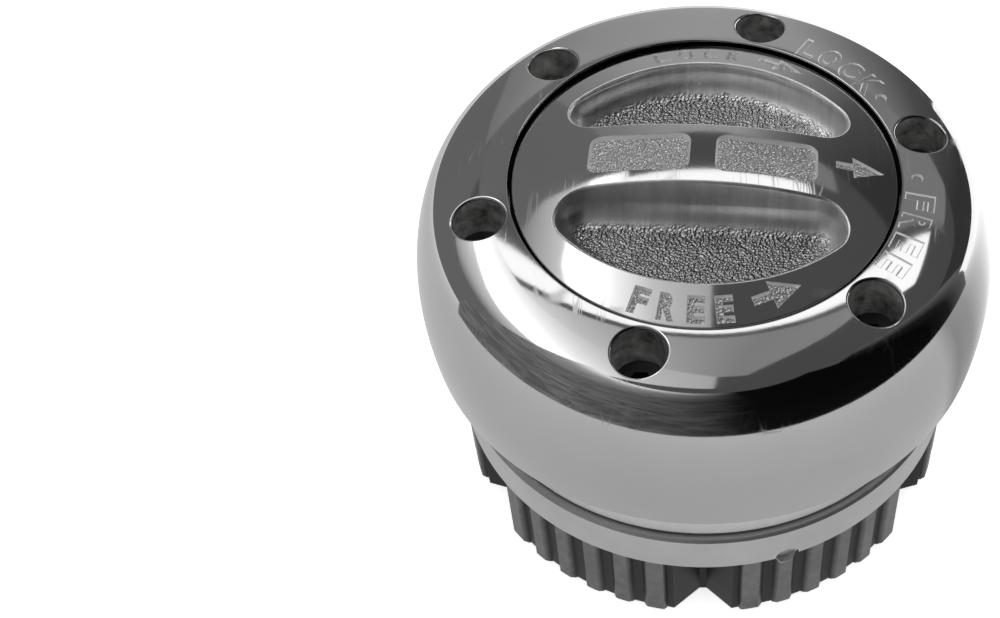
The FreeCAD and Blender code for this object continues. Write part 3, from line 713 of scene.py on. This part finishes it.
def inset(outline, by):
    """A polygon's corners moved inward by a distance (the polygon runs anticlockwise)."""
    n, out = len(outline), []
    for i in range(n):
        p, c, q = Vector(outline[i - 1]), Vector(outline[i]), Vector(outline[(i + 1) % n])
        a, b = (c - p).normalized(), (q - c).normalized()
        na, nb = Vector((-a.y, a.x)), Vector((-b.y, b.x))
        k = 1.0 + na.dot(nb)
        out.append(tuple(c + (na + nb) * (by / max(k, 0.35))))
    return out


def prism_of(outline, slope=0.2):
    n = len(outline)
    small = inset(outline, slope)
    vs = [(x, y, -2) for x, y in small] + [(x, y, -1) for x, y in outline] + [(x, y, 1) for x, y in outline]
    fs = [list(range(n))[::-1], list(range(2 * n, 3 * n))]
    for k in (0, n):
        fs += [[k + i, k + (i + 1) % n, k + n + (i + 1) % n, k + n + i] for i in range(n)]
    return vs, fs


def disc(radius, n=40):
    return prism_of([(radius * math.cos(2 * pi * i / n), radius * math.sin(2 * pi * i / n)) for i in range(n)], 0.22)


def on_circle(radius, azimuth, tops_out=True):
    """Place a flat shape on a circle: tops outward reads clockwise, tops inward reads the other way."""
    a = math.radians(azimuth)
    upv = (math.cos(a), math.sin(a)) if tops_out else (-math.cos(a), -math.sin(a))
    rt = (upv[1], -upv[0])
    cx, cy = radius * math.cos(a), radius * math.sin(a)
    return lambda x, y: (cx + x * rt[0] + y * upv[0], cy + x * rt[1] + y * upv[1])


tools = Soup()
for k in range(6):
    a = math.radians(15.0 + 60.0 * k)
    tools.add(*stepped_hole(32.95 * math.cos(a), 32.95 * math.sin(a), cap_top))
CAP_WORDS = [("L", 59.0), ("O", 52.0), ("C", 44.7), ("K", 37.2), ("F", -9.7), ("R", -17.4), ("E", -25.2), ("E", -32.9)]
for ch, az in CAP_WORDS:
    engrave(tools, fit_letter(ch, 3.2 if ch != "L" else 2.7, 4.4, 0.022, 0.033), on_circle(31.05, az), cap_top, 0.2, 4, 0)
for az, r in ((31.0, 30.8), (-1.1, 30.6)):
    engrave(tools, disc(0.88), on_circle(r, az), cap_top, 0.35, 4, 0)
cut_all(cap_obj, tools.object("cap_tools", [mirror, well_wall, letter_floor, satin, painted_highlight_walls]))
dress(cap_obj)
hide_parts("cap")
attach(cap_obj, "housing")

# ---------------------------------------------------------------------------------------------
# the dial
# ---------------------------------------------------------------------------------------------
DTOP, DRAD = 63.2, 76.0
TURN = math.radians(-3.0)


def dome(x, y):
    q = math.sqrt(DRAD * DRAD - x * x - y * y)
    return DTOP - DRAD + q, Vector((x, y, q)).normalized()


ze = dome(27.85, 0)[0]
arc = []
for k in range(41):
    r = 27.45 * (1 - k / 40.0)
    z, nv = dome(r, 0)
    arc.append((r, z, -nv.z, nv.x))
below = rounded([(0.0, 51.0), (3.0, 51.0), (3.0, 43.4), (14.15, 43.4), (14.15, 44.2), (13.2, 44.2), (13.2, 45.4),
                 (14.15, 45.4), (14.15, 52.0), (27.85, 52.0), (27.85, 53.4), (26.1, 53.4), (26.1, 55.8),
                 (27.85, 55.8), (27.85, ze), (27.4, dome(27.4, 0)[0] + 0.0)],
                [0, 0, 0, 0.2, 0, 0, 0, 0, 0.1, 0.25, 0.1, 0.1, 0.1, 0.15, 0.42, 0], 5)
below[-1][-1] = (27.45, dome(27.45, 0)[0], arc[0][2], arc[0][3])
base = Soup()
v, f, n = lathe_data([arc] + below, 256)
base.add(v, f, n, 0)
dial_obj = base.object("dial_face", [mirror_dial, pocket_mat, grain_mat, painted_highlight_walls])

FLOOR, COVE = 55.2, 4.2
RIN, ROUT, COFF, RHO = 6.1, 27.0, 5.5, 4.3


def ends(dd):
    """The corner circle of the finger pocket's edge moved inward by dd: centre, radius and where it meets the arc."""
    rc = max(RHO - dd, 0.5)
    y0, R = RIN + dd, ROUT - dd
    cy = y0 + rc
    cx = math.sqrt((R - rc) ** 2 - (cy + COFF) ** 2)
    return cx, cy, rc, math.atan2(cy + COFF, cx), y0, R


def outline(dd, n_line=60, n_arc=72, n_c=16):
    """The finger pocket's edge moved inward by dd: a closed list of (x, y)."""
    cx, cy, rc, ta, y0, R = ends(dd)
    pts = []
    for i in range(n_line):
        t = -1 + 2 * i / (n_line - 1)
        pts.append((cx * t, y0 + bow(cx * t)))
    for i in range(1, n_c):
        f = i / n_c
        a = -pi / 2 + (pi / 2 + ta) * f
        pts.append((cx + rc * math.cos(a), cy + bow(cx) * (1 - f) + rc * math.sin(a)))
    for i in range(n_arc + 1):
        a = ta + (pi - 2 * ta) * i / n_arc
        pts.append((R * math.cos(a), -COFF + R * math.sin(a)))
    for i in range(1, n_c):
        f = i / n_c
        a = pi - ta + (pi / 2 + ta) * f
        pts.append((-cx + rc * math.cos(a), cy + bow(cx) * f + rc * math.sin(a)))
    return pts


def bow(x):
    return -0.3 * max(1.0 - (x / 16.0) ** 2, 0.0)


def depth_at(x, y):
    cx, cy, rc, ta, y0, R = ends(0.0)
    if abs(x) > cx and math.atan2(y - cy, abs(x) - cx) < ta:
        dd = rc - math.hypot(abs(x) - cx, y - cy)
    else:
        dd = min(R - math.hypot(x, y + COFF), y - y0 - bow(x))
    dd = max(dd, 0.0)
    if dd >= COVE:
        return FLOOR
    return FLOOR + COVE - math.sqrt(max(COVE * COVE - (COVE - dd) ** 2, 0.0))


def pocket(soup, sign):
    rings = []
    ct, st = math.cos(TURN), math.sin(TURN)

    def put(x, y):
        x, y = x * sign, y * sign
        return x * ct - y * st, x * st + y * ct
    rim = 0.45
    levels = [("top", -0.62, 1.2), ("top", -0.62, 0.10)]
    for k in range(6, -1, -1):
        a = math.radians(78.0) * k / 6
        levels.append(("top", -rim * (1 - math.cos(a)), -rim + rim * math.sin(a)))
    for no, lev in enumerate(levels):
        pts = outline(lev[1])
        ring = []
        for x, y in pts:
            wx, wy = put(x, y)
            ring.append((wx, wy, dome(wx, wy)[0] + lev[2] if no else DTOP + 3.0))
        rings.append(ring)
    foot = FLOOR + COVE
    for k in range(1, 4):
        pts = outline(0.02 * k)
        ring = []
        for (x, y), top in zip(pts, rings[8]):
            wx, wy = put(x, y)
            ring.append((wx, wy, top[2] + (foot - top[2]) * min(k / 3.0, 1.0) if top[2] > foot else foot - 0.0))
        rings.append(ring)
    inner = None
    for k in range(1, 15):
        dd = 0.06 + COVE * (1 - math.cos(math.radians(5.6 * k)))
        if dd > 3.4:
            break
        pts = outline(dd)
        inner = pts
        rings.append([put(x, y) + (depth_at(x, y),) for x, y in pts])
    spine = []
    for x, y in inner:
        sx = max(-15.0, min(15.0, x * 0.93))
        top = -COFF + math.sqrt(ROUT ** 2 - sx * sx)
        spine.append((sx, (RIN + bow(sx) + top) / 2))
    for k in range(1, 17):
        t = k / 17.0
        ring = []
        for (x, y), (sx, sy) in zip(inner, spine):
            px, py = x + (sx - x) * t, y + (sy - y) * t
            ring.append(put(px, py) + (depth_at(px, py),))
        rings.append(ring)
    verts = [p for ring in rings for p in ring]
    n = len(rings[0])
    faces = []
    for a in range(len(rings) - 1):
        for i in range(n):
            j = (i + 1) % n
            faces.append([a * n + i, (a + 1) * n + i, (a + 1) * n + j, a * n + j])
    last = (len(rings) - 1) * n
    # close the floor inside the last ring, and the top
    faces.append([last + i for i in range(n)][::-1])
    faces.append([i for i in range(n)])
    me = bpy.data.meshes.new("tmp")
    me.from_pydata(verts, [], faces)
    me.update()
    vn = [tuple(x.vector) for x in me.vertex_normals]
    bpy.data.meshes.remove(me)
    norms = []
    for i, g in enumerate(faces):
        ringno = i // n
        if i >= len(faces) - 2 or ringno < 1:
            norms.append(None)
        else:
            norms.append([vn[k] for k in g])
    soup.add(verts, faces, norms, 1)


tools = Soup()
pocket(tools, 1)
pocket(tools, -1)


def turned_place(place):
    ct, st = math.cos(TURN), math.sin(TURN)

    def go(x, y):
        px, py = place(x, y)
        return px * ct - py * st, px * st + py * ct
    return go


for ch, az in (("L", 105.7), ("O", 97.1), ("C", 88.3), ("K", 79.5)):
    engrave(tools, fit_letter(ch, 2.5 if ch != "L" else 2.2, 3.5, 0.02), on_circle(24.75, az), dome, 0.4, 3, 2)
for ch, az in (("F", -110.2), ("R", -101.3), ("E", -92.4), ("E", -83.6)):
    engrave(tools, fit_letter(ch, 2.55, 3.8, 0.03), on_circle(25.3, az, False), dome, 0.4, 3, 2)


def arrow_shape(tail, head, length, stem, breadth):
    """An arrow along +x from -length/2: stem, then a triangular head."""
    a, b = -length / 2, length / 2
    hb = b - head
    return prism_of([(a, -stem / 2), (hb, -stem / 2), (hb, -breadth / 2), (b, 0), (hb, breadth / 2), (hb, stem / 2),
                     (a, stem / 2)])


arrow = arrow_shape(0, 4.4, 7.2, 1.3, 4.0)
engrave(tools, arrow, on_circle(25.0, 62.5), dome, 0.4, 3, 2)
engrave(tools, arrow, on_circle(24.6, -66.3, False), dome, 0.4, 3, 2)
engrave(tools, arrow_shape(0, 4.6, 7.1, 1.4, 4.0), lambda x, y: (22.3 + x, -0.2 + y), dome, 0.45, 3, 2)


def panel(w, h, r, k=6):
    pts = []
    for cx, cy, a0 in ((w / 2 - r, -h / 2 + r, -90), (w / 2 - r, h / 2 - r, 0), (-w / 2 + r, h / 2 - r, 90),
                       (-w / 2 + r, -h / 2 + r, 180)):
        for i in range(k + 1):
            a = math.radians(a0 + 90.0 * i / k)
            pts.append((cx + r * math.cos(a), cy + r * math.sin(a)))
    return prism_of(pts, 0.32)


for cx in (-9.35, 8.85):
    engrave(tools, panel(14.6, 7.2, 1.6), turned_place(lambda x, y, cx=cx: (cx + x, y)), dome, 0.6, 3, 2)
cut_all(dial_obj, tools.object("dial_tools", [mirror_dial, pocket_mat, grain_mat, painted_highlight_walls]))
dress(dial_obj)
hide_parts("dial")
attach(dial_obj, "dial")

# ---------------------------------------------------------------------------------------------
# floor, backdrop and light
# ---------------------------------------------------------------------------------------------


def card(name, centre, normal, w, h, mat, spin=0.0):
    me = bpy.data.meshes.new(name)
    me.from_pydata([(-w / 2, -h / 2, 0), (w / 2, -h / 2, 0), (w / 2, h / 2, 0), (-w / 2, h / 2, 0)], [], [(0, 1, 2, 3)])
    ob = bpy.data.objects.new(name, me)
    me.materials.append(mat)
    bpy.context.scene.collection.objects.link(ob)
    q = Vector(normal).to_track_quat("Z", "Y")
    ob.matrix_world = Matrix.Translation(Vector(centre)) @ q.to_matrix().to_4x4() @ Matrix.Rotation(spin, 4, "Z")
    return ob


def matte(name, c):
    M = Mat(name)
    a = M.noise(6.0, 3.0)
    return M.set(color=M.ramp(a, [(0.3, tuple(x * 0.985 for x in c)), (0.7, c)]), metal=0.0, rough=0.9, spec=0.2)


floor_mat = matte("pale_floor", (0.93, 0.93, 0.93))
glow = floor_mat.node_tree.nodes["Principled BSDF"].inputs
glow["Emission Color"].default_value = (1.0, 1.0, 1.0, 1.0)
glow["Emission Strength"].default_value = 0.62
card("floor", (0, 0, 0), (0, 0, 1), 6.0, 6.0, floor_mat)


def unseen(ob, shadow=False):
    """A studio card that only shows in reflections."""
    ob.visible_camera = False
    ob.visible_shadow = shadow
    ob.visible_diffuse = False
    return ob


def tone(name, stops, axis=0, scale=1.0, offset=0.0, streak=0.0):
    """A card's own even tone, which may change along one of its axes."""
    M = Mat(name)
    x = M.split()[axis]
    v = M.math("MULTIPLY_ADD", x, scale, offset)
    if streak:
        v = M.math("ADD", v, M.math("MULTIPLY_ADD", M.noise(9.0, 3.0), streak, -streak / 2))
    col = M.ramp(v, stops)
    em = M.n("ShaderNodeEmission")
    M.link(col, em.inputs[0])
    em.inputs[1].default_value = 1.0
    M.link(em.outputs[0], M.out.inputs[0])
    return M.mat


def arc_card(name, radius, z0, z1, a0, a1, mat, lean=0.0, n=48):
    vs, fs = [], []
    for k in range(n + 1):
        a = math.radians(a0 + (a1 - a0) * k / n)
        vs.append((radius * math.cos(a), radius * math.sin(a), z0))
        vs.append(((radius + lean) * math.cos(a), (radius + lean) * math.sin(a), z1))
    for k in range(n):
        fs.append((2 * k, 2 * k + 2, 2 * k + 3, 2 * k + 1))
    me = bpy.data.meshes.new(name)
    me.from_pydata(vs, [], fs)
    me.materials.append(mat)
    ob = bpy.data.objects.new(name, me)
    bpy.context.scene.collection.objects.link(ob)
    return unseen(ob)


def area(name, centre, target, w, h, power, seen=True, spin=0.0):
    la = bpy.data.lights.new(name, "AREA")
    la.shape = "RECTANGLE"
    la.size, la.size_y = w, h
    la.energy = power
    ob = bpy.data.objects.new(name, la)
    bpy.context.scene.collection.objects.link(ob)
    q = (Vector(target) - Vector(centre)).to_track_quat("-Z", "Y")
    ob.matrix_world = Matrix.Translation(Vector(centre)) @ q.to_matrix().to_4x4() @ Matrix.Rotation(spin, 4, "Z")
    ob.visible_glossy = seen
    return ob


world = bpy.data.worlds.new("studio")
bpy.context.scene.world = world
world.use_nodes = True
world.node_tree.nodes["Background"].inputs[0].default_value = (0.12, 0.12, 0.12, 1)
world.node_tree.nodes["Background"].inputs[1].default_value = 1.0
# light that fills the floor evenly and does not show in the polish
area("fill", (0, 0, 1.6), (0, 0, 0), 3.0, 3.0, 48, seen=False)

# the room beyond the white table, in front: dark from just below eye level up to the soft light
def front_tone(name, stops, axis, scale, offset, streak, top):
    """The dark wall's tone: changes along it, a little cloudy, and lighter towards its top edge."""
    M = Mat(name)
    xyz = M.split()
    v = M.math("MULTIPLY_ADD", xyz[axis], scale, offset)
    low = M.ramp(v, stops)
    cloud = M.ramp(M.noise(16.0, 4.0, 0.65, stretch=(1.0, 1.0, 2.5), distortion=1.5), [(0.40, 0.0), (0.62, streak)])
    left = M.ramp(v, [(0.25, 1.0), (0.62, 0.0)])
    rise = M.ramp(M.math("MULTIPLY_ADD", xyz[2], 1.0 / 0.6, 0.0), [(0.42, 0.0), (0.75, 0.22), (1.0, 1.0)])
    e = M.math("ADD", low, M.math("MULTIPLY", M.math("MULTIPLY_ADD", rise, top, cloud), left))
    em = M.n("ShaderNodeEmission")
    M.link(e, em.inputs[1])
    em.inputs[0].default_value = (1.0, 1.0, 1.0, 1.0)
    M.link(em.outputs[0], M.out.inputs[0])
    return M.mat


front = front_tone("room_front", [(0.0, 0.20), (0.30, 0.12), (0.46, 0.07), (0.58, 0.006), (0.92, 0.004), (1.0, 0.02)],
                   0, 1.9, 0.5, 0.16, 1.3)
arc_card("room_front", 0.215, 0.0, 0.60, -178.0, -12.0, front, lean=-0.03)
front_end = front_tone("room_front_end", [(0.0, 0.004), (0.45, 0.02), (1.0, 0.22)], 1, 11.0, 0.55, 0.0, 0.0)
arc_card("room_front_end", 0.215, 0.0, 0.45, -12.0, 9.0, front_end, lean=-0.02, n=10)

# walls: pale behind, darker to the left and right
back = tone("wall_back", [(0.0, 0.19), (0.19, 0.20), (0.34, 0.36), (0.41, 0.50), (0.50, 0.58), (0.57, 0.55),
                          (0.635, 0.28), (0.70, 0.13), (0.82, 0.06), (1.0, 0.06)], axis=0, scale=0.45, offset=0.5)
arc_card("wall_back", 1.1, 0.0, 0.95, 18.0, 113.0, back)
arc_card("wall_left", 1.13, 0.0, 1.10, 112.0, 183.0, tone("wall_left", [(0.0, 0.23), (1.0, 0.23)]))
arc_card("wall_right", 1.12, 0.0, 0.95, -40.0, 18.5, tone("wall_right", [(0.0, 0.19), (1.0, 0.19)]))
arc_card("low_light", 1.05, 0.0, 0.31, 15.0, 60.0, tone("low_light", [(0.0, 1.9), (1.0, 1.9)]))


def sky_card(name, pts, stops, scale=1.0, offset=0.0):
    """A flat card overhead given by directions (x/z, y/z) on a plane one metre up."""
    me = bpy.data.meshes.new(name)
    me.from_pydata([(x, y, 1.0) for x, y in pts], [], [tuple(range(len(pts)))])
    if not isinstance(stops, list):
        stops = [(0.0, stops), (1.0, stops)]
    me.materials.append(tone(name, stops, scale=scale, offset=offset))
    ob = bpy.data.objects.new(name, me)
    bpy.context.scene.collection.objects.link(ob)
    return unseen(ob)


# soft light overhead and to the left; it fades to the right and to the far left
sky_card("soft_light", [(0.03, -0.13), (0.03, 0.10), (-0.18, 0.27), (-0.31, 0.55), (-0.34, 0.80), (-0.52, 0.80),
                        (-0.60, 0.45), (-0.62, 0.28), (-0.55, -0.04)],
         [(0.0, 3.0), (0.15, 3.0), (0.24, 2.6), (0.36, 1.9), (0.48, 1.45), (0.6, 1.05), (0.78, 0.85), (1.0, 0.7)], 1.5, 0.9)
sky_card("soft_right", [(0.03, 0.10), (0.10, 0.10), (0.15, 0.25), (0.22, 0.40), (0.28, 0.58), (-0.315, 0.58),
                        (-0.31, 0.55), (-0.18, 0.27)],
         [(0.0, 1.5), (0.2, 1.0), (0.33, 0.75), (0.5, 0.52), (0.6, 0.40), (0.8, 0.42), (1.0, 0.55)], 1.5, 0.5)
sky_card("soft_left", [(-0.62, 0.28), (-0.60, 0.45), (-0.52, 0.80), (-1.0, 0.80), (-1.05, -0.02), (-0.55, -0.04)],
         [(0.0, 0.22), (0.35, 0.5), (0.8, 1.0), (1.0, 1.3)], 2.0, 2.1)
sky_card("strip_light", [(0.34, 0.46), (0.50, 0.50), (0.46, 0.74), (-0.34, 0.74), (-0.315, 0.62), (0.28, 0.62)], 2.0)
sky_card("top_left", [(-0.12, 0.84), (-0.12, 1.22), (-0.42, 1.22), (-0.42, 0.84)], 0.24)
sky_card("top_right", [(0.12, 0.80), (0.62, 0.76), (0.64, 1.22), (0.12, 1.22)], 0.34)

# the table as the polish sees it: a shade darker near the hub
M = Mat("table_tone")
xyz = M.split()
away = M.math("SQRT", M.math("ADD", M.math("MULTIPLY", xyz[0], xyz[0]), M.math("MULTIPLY", xyz[1], xyz[1])))
em = M.n("ShaderNodeEmission")
M.link(M.ramp(away, [(0.03, 0.60), (0.09, 0.72), (0.20, 0.84), (0.45, 1.0), (0.9, 1.15)]), em.inputs[0])
around = M.math("MULTIPLY_ADD", M.math("ARCTAN2", xyz[1], xyz[0]), 0.5, 0.1)
M.link(M.ramp(around, [(0.0, 1.0), (0.06, 0.6), (0.14, 0.7), (0.24, 1.25), (0.325, 1.9), (0.475, 2.6), (0.66, 2.6),
                       (0.85, 1.3), (1.0, 1.0)]), em.inputs[1])
M.link(em.outputs[0], M.out.inputs[0])
me = bpy.data.meshes.new("table_tone")
me.from_pydata([(q * math.cos(2 * pi * i / 48), q * math.sin(2 * pi * i / 48), 0.0004) for q in (0.0, 1.6) for i in range(48)], [],
               [(i, (i + 1) % 48, 48 + (i + 1) % 48, 48 + i) for i in range(48)])
me.materials.append(M.mat)
table = bpy.data.objects.new("table_tone", me)
bpy.context.scene.collection.objects.link(table)
unseen(table)

bpy.context.scene.view_settings.view_transform = "Standard"
bpy.context.scene.view_settings.look = "None"
